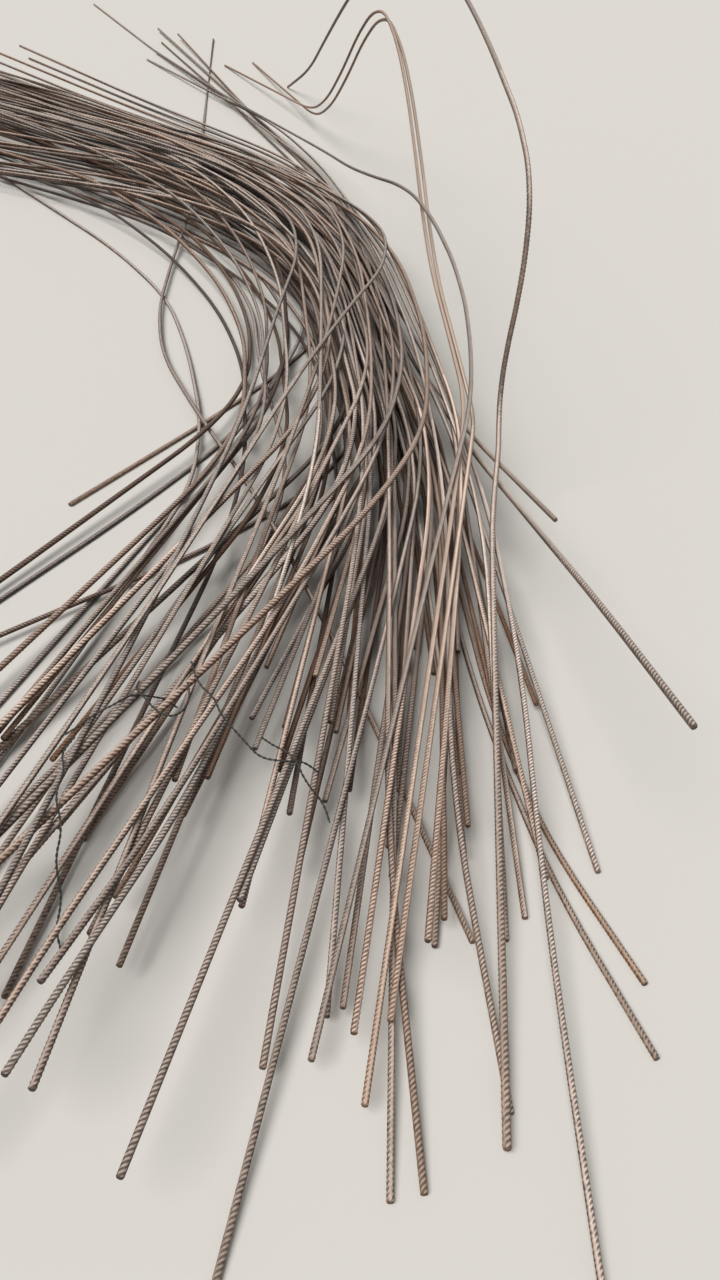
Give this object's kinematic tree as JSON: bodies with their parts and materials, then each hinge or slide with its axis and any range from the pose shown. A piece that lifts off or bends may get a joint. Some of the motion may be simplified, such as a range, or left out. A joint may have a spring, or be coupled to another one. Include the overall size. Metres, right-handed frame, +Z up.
{
  "type": "rebar bundle",
  "caption": "Loose bundle of rusty deformed steel reinforcing bars, 6 m stock, pinched at a waist and fanned out at both ends, with loose tie wires.",
  "frame": {"origin": "middle of the bundle's bounding box, at the floor it lies on", "axes": "+Y from the near fan to the far ends, along the foot of the wall it was dropped by; +Z up; +X towards that wall"},
  "size_m": [3.9582, 7.157, 0.9313],
  "materials": {
    "bar_steel": "rusty mill scale with pale dust",
    "tie_wire": "black annealed"
  },
  "bodies": {
    "root": {"base_bars": "bar_steel", "bowed_bars": "bar_steel", "fan_bars_1": "bar_steel", "fan_bars_2": "bar_steel", "fan_bars_3": "bar_steel", "main_bars_1": "bar_steel", "main_bars_2": "bar_steel", "main_bars_3": "bar_steel", "main_bars_4": "bar_steel", "main_bars_5": "bar_steel", "main_bars_6": "bar_steel", "main_bars_7": "bar_steel", "sprung_bars": "bar_steel", "tie_wires": "tie_wire", "top_bars": "bar_steel", "wall_bars": "bar_steel", "wall_foot_bars": "bar_steel"}
  },
  "joints": []
}
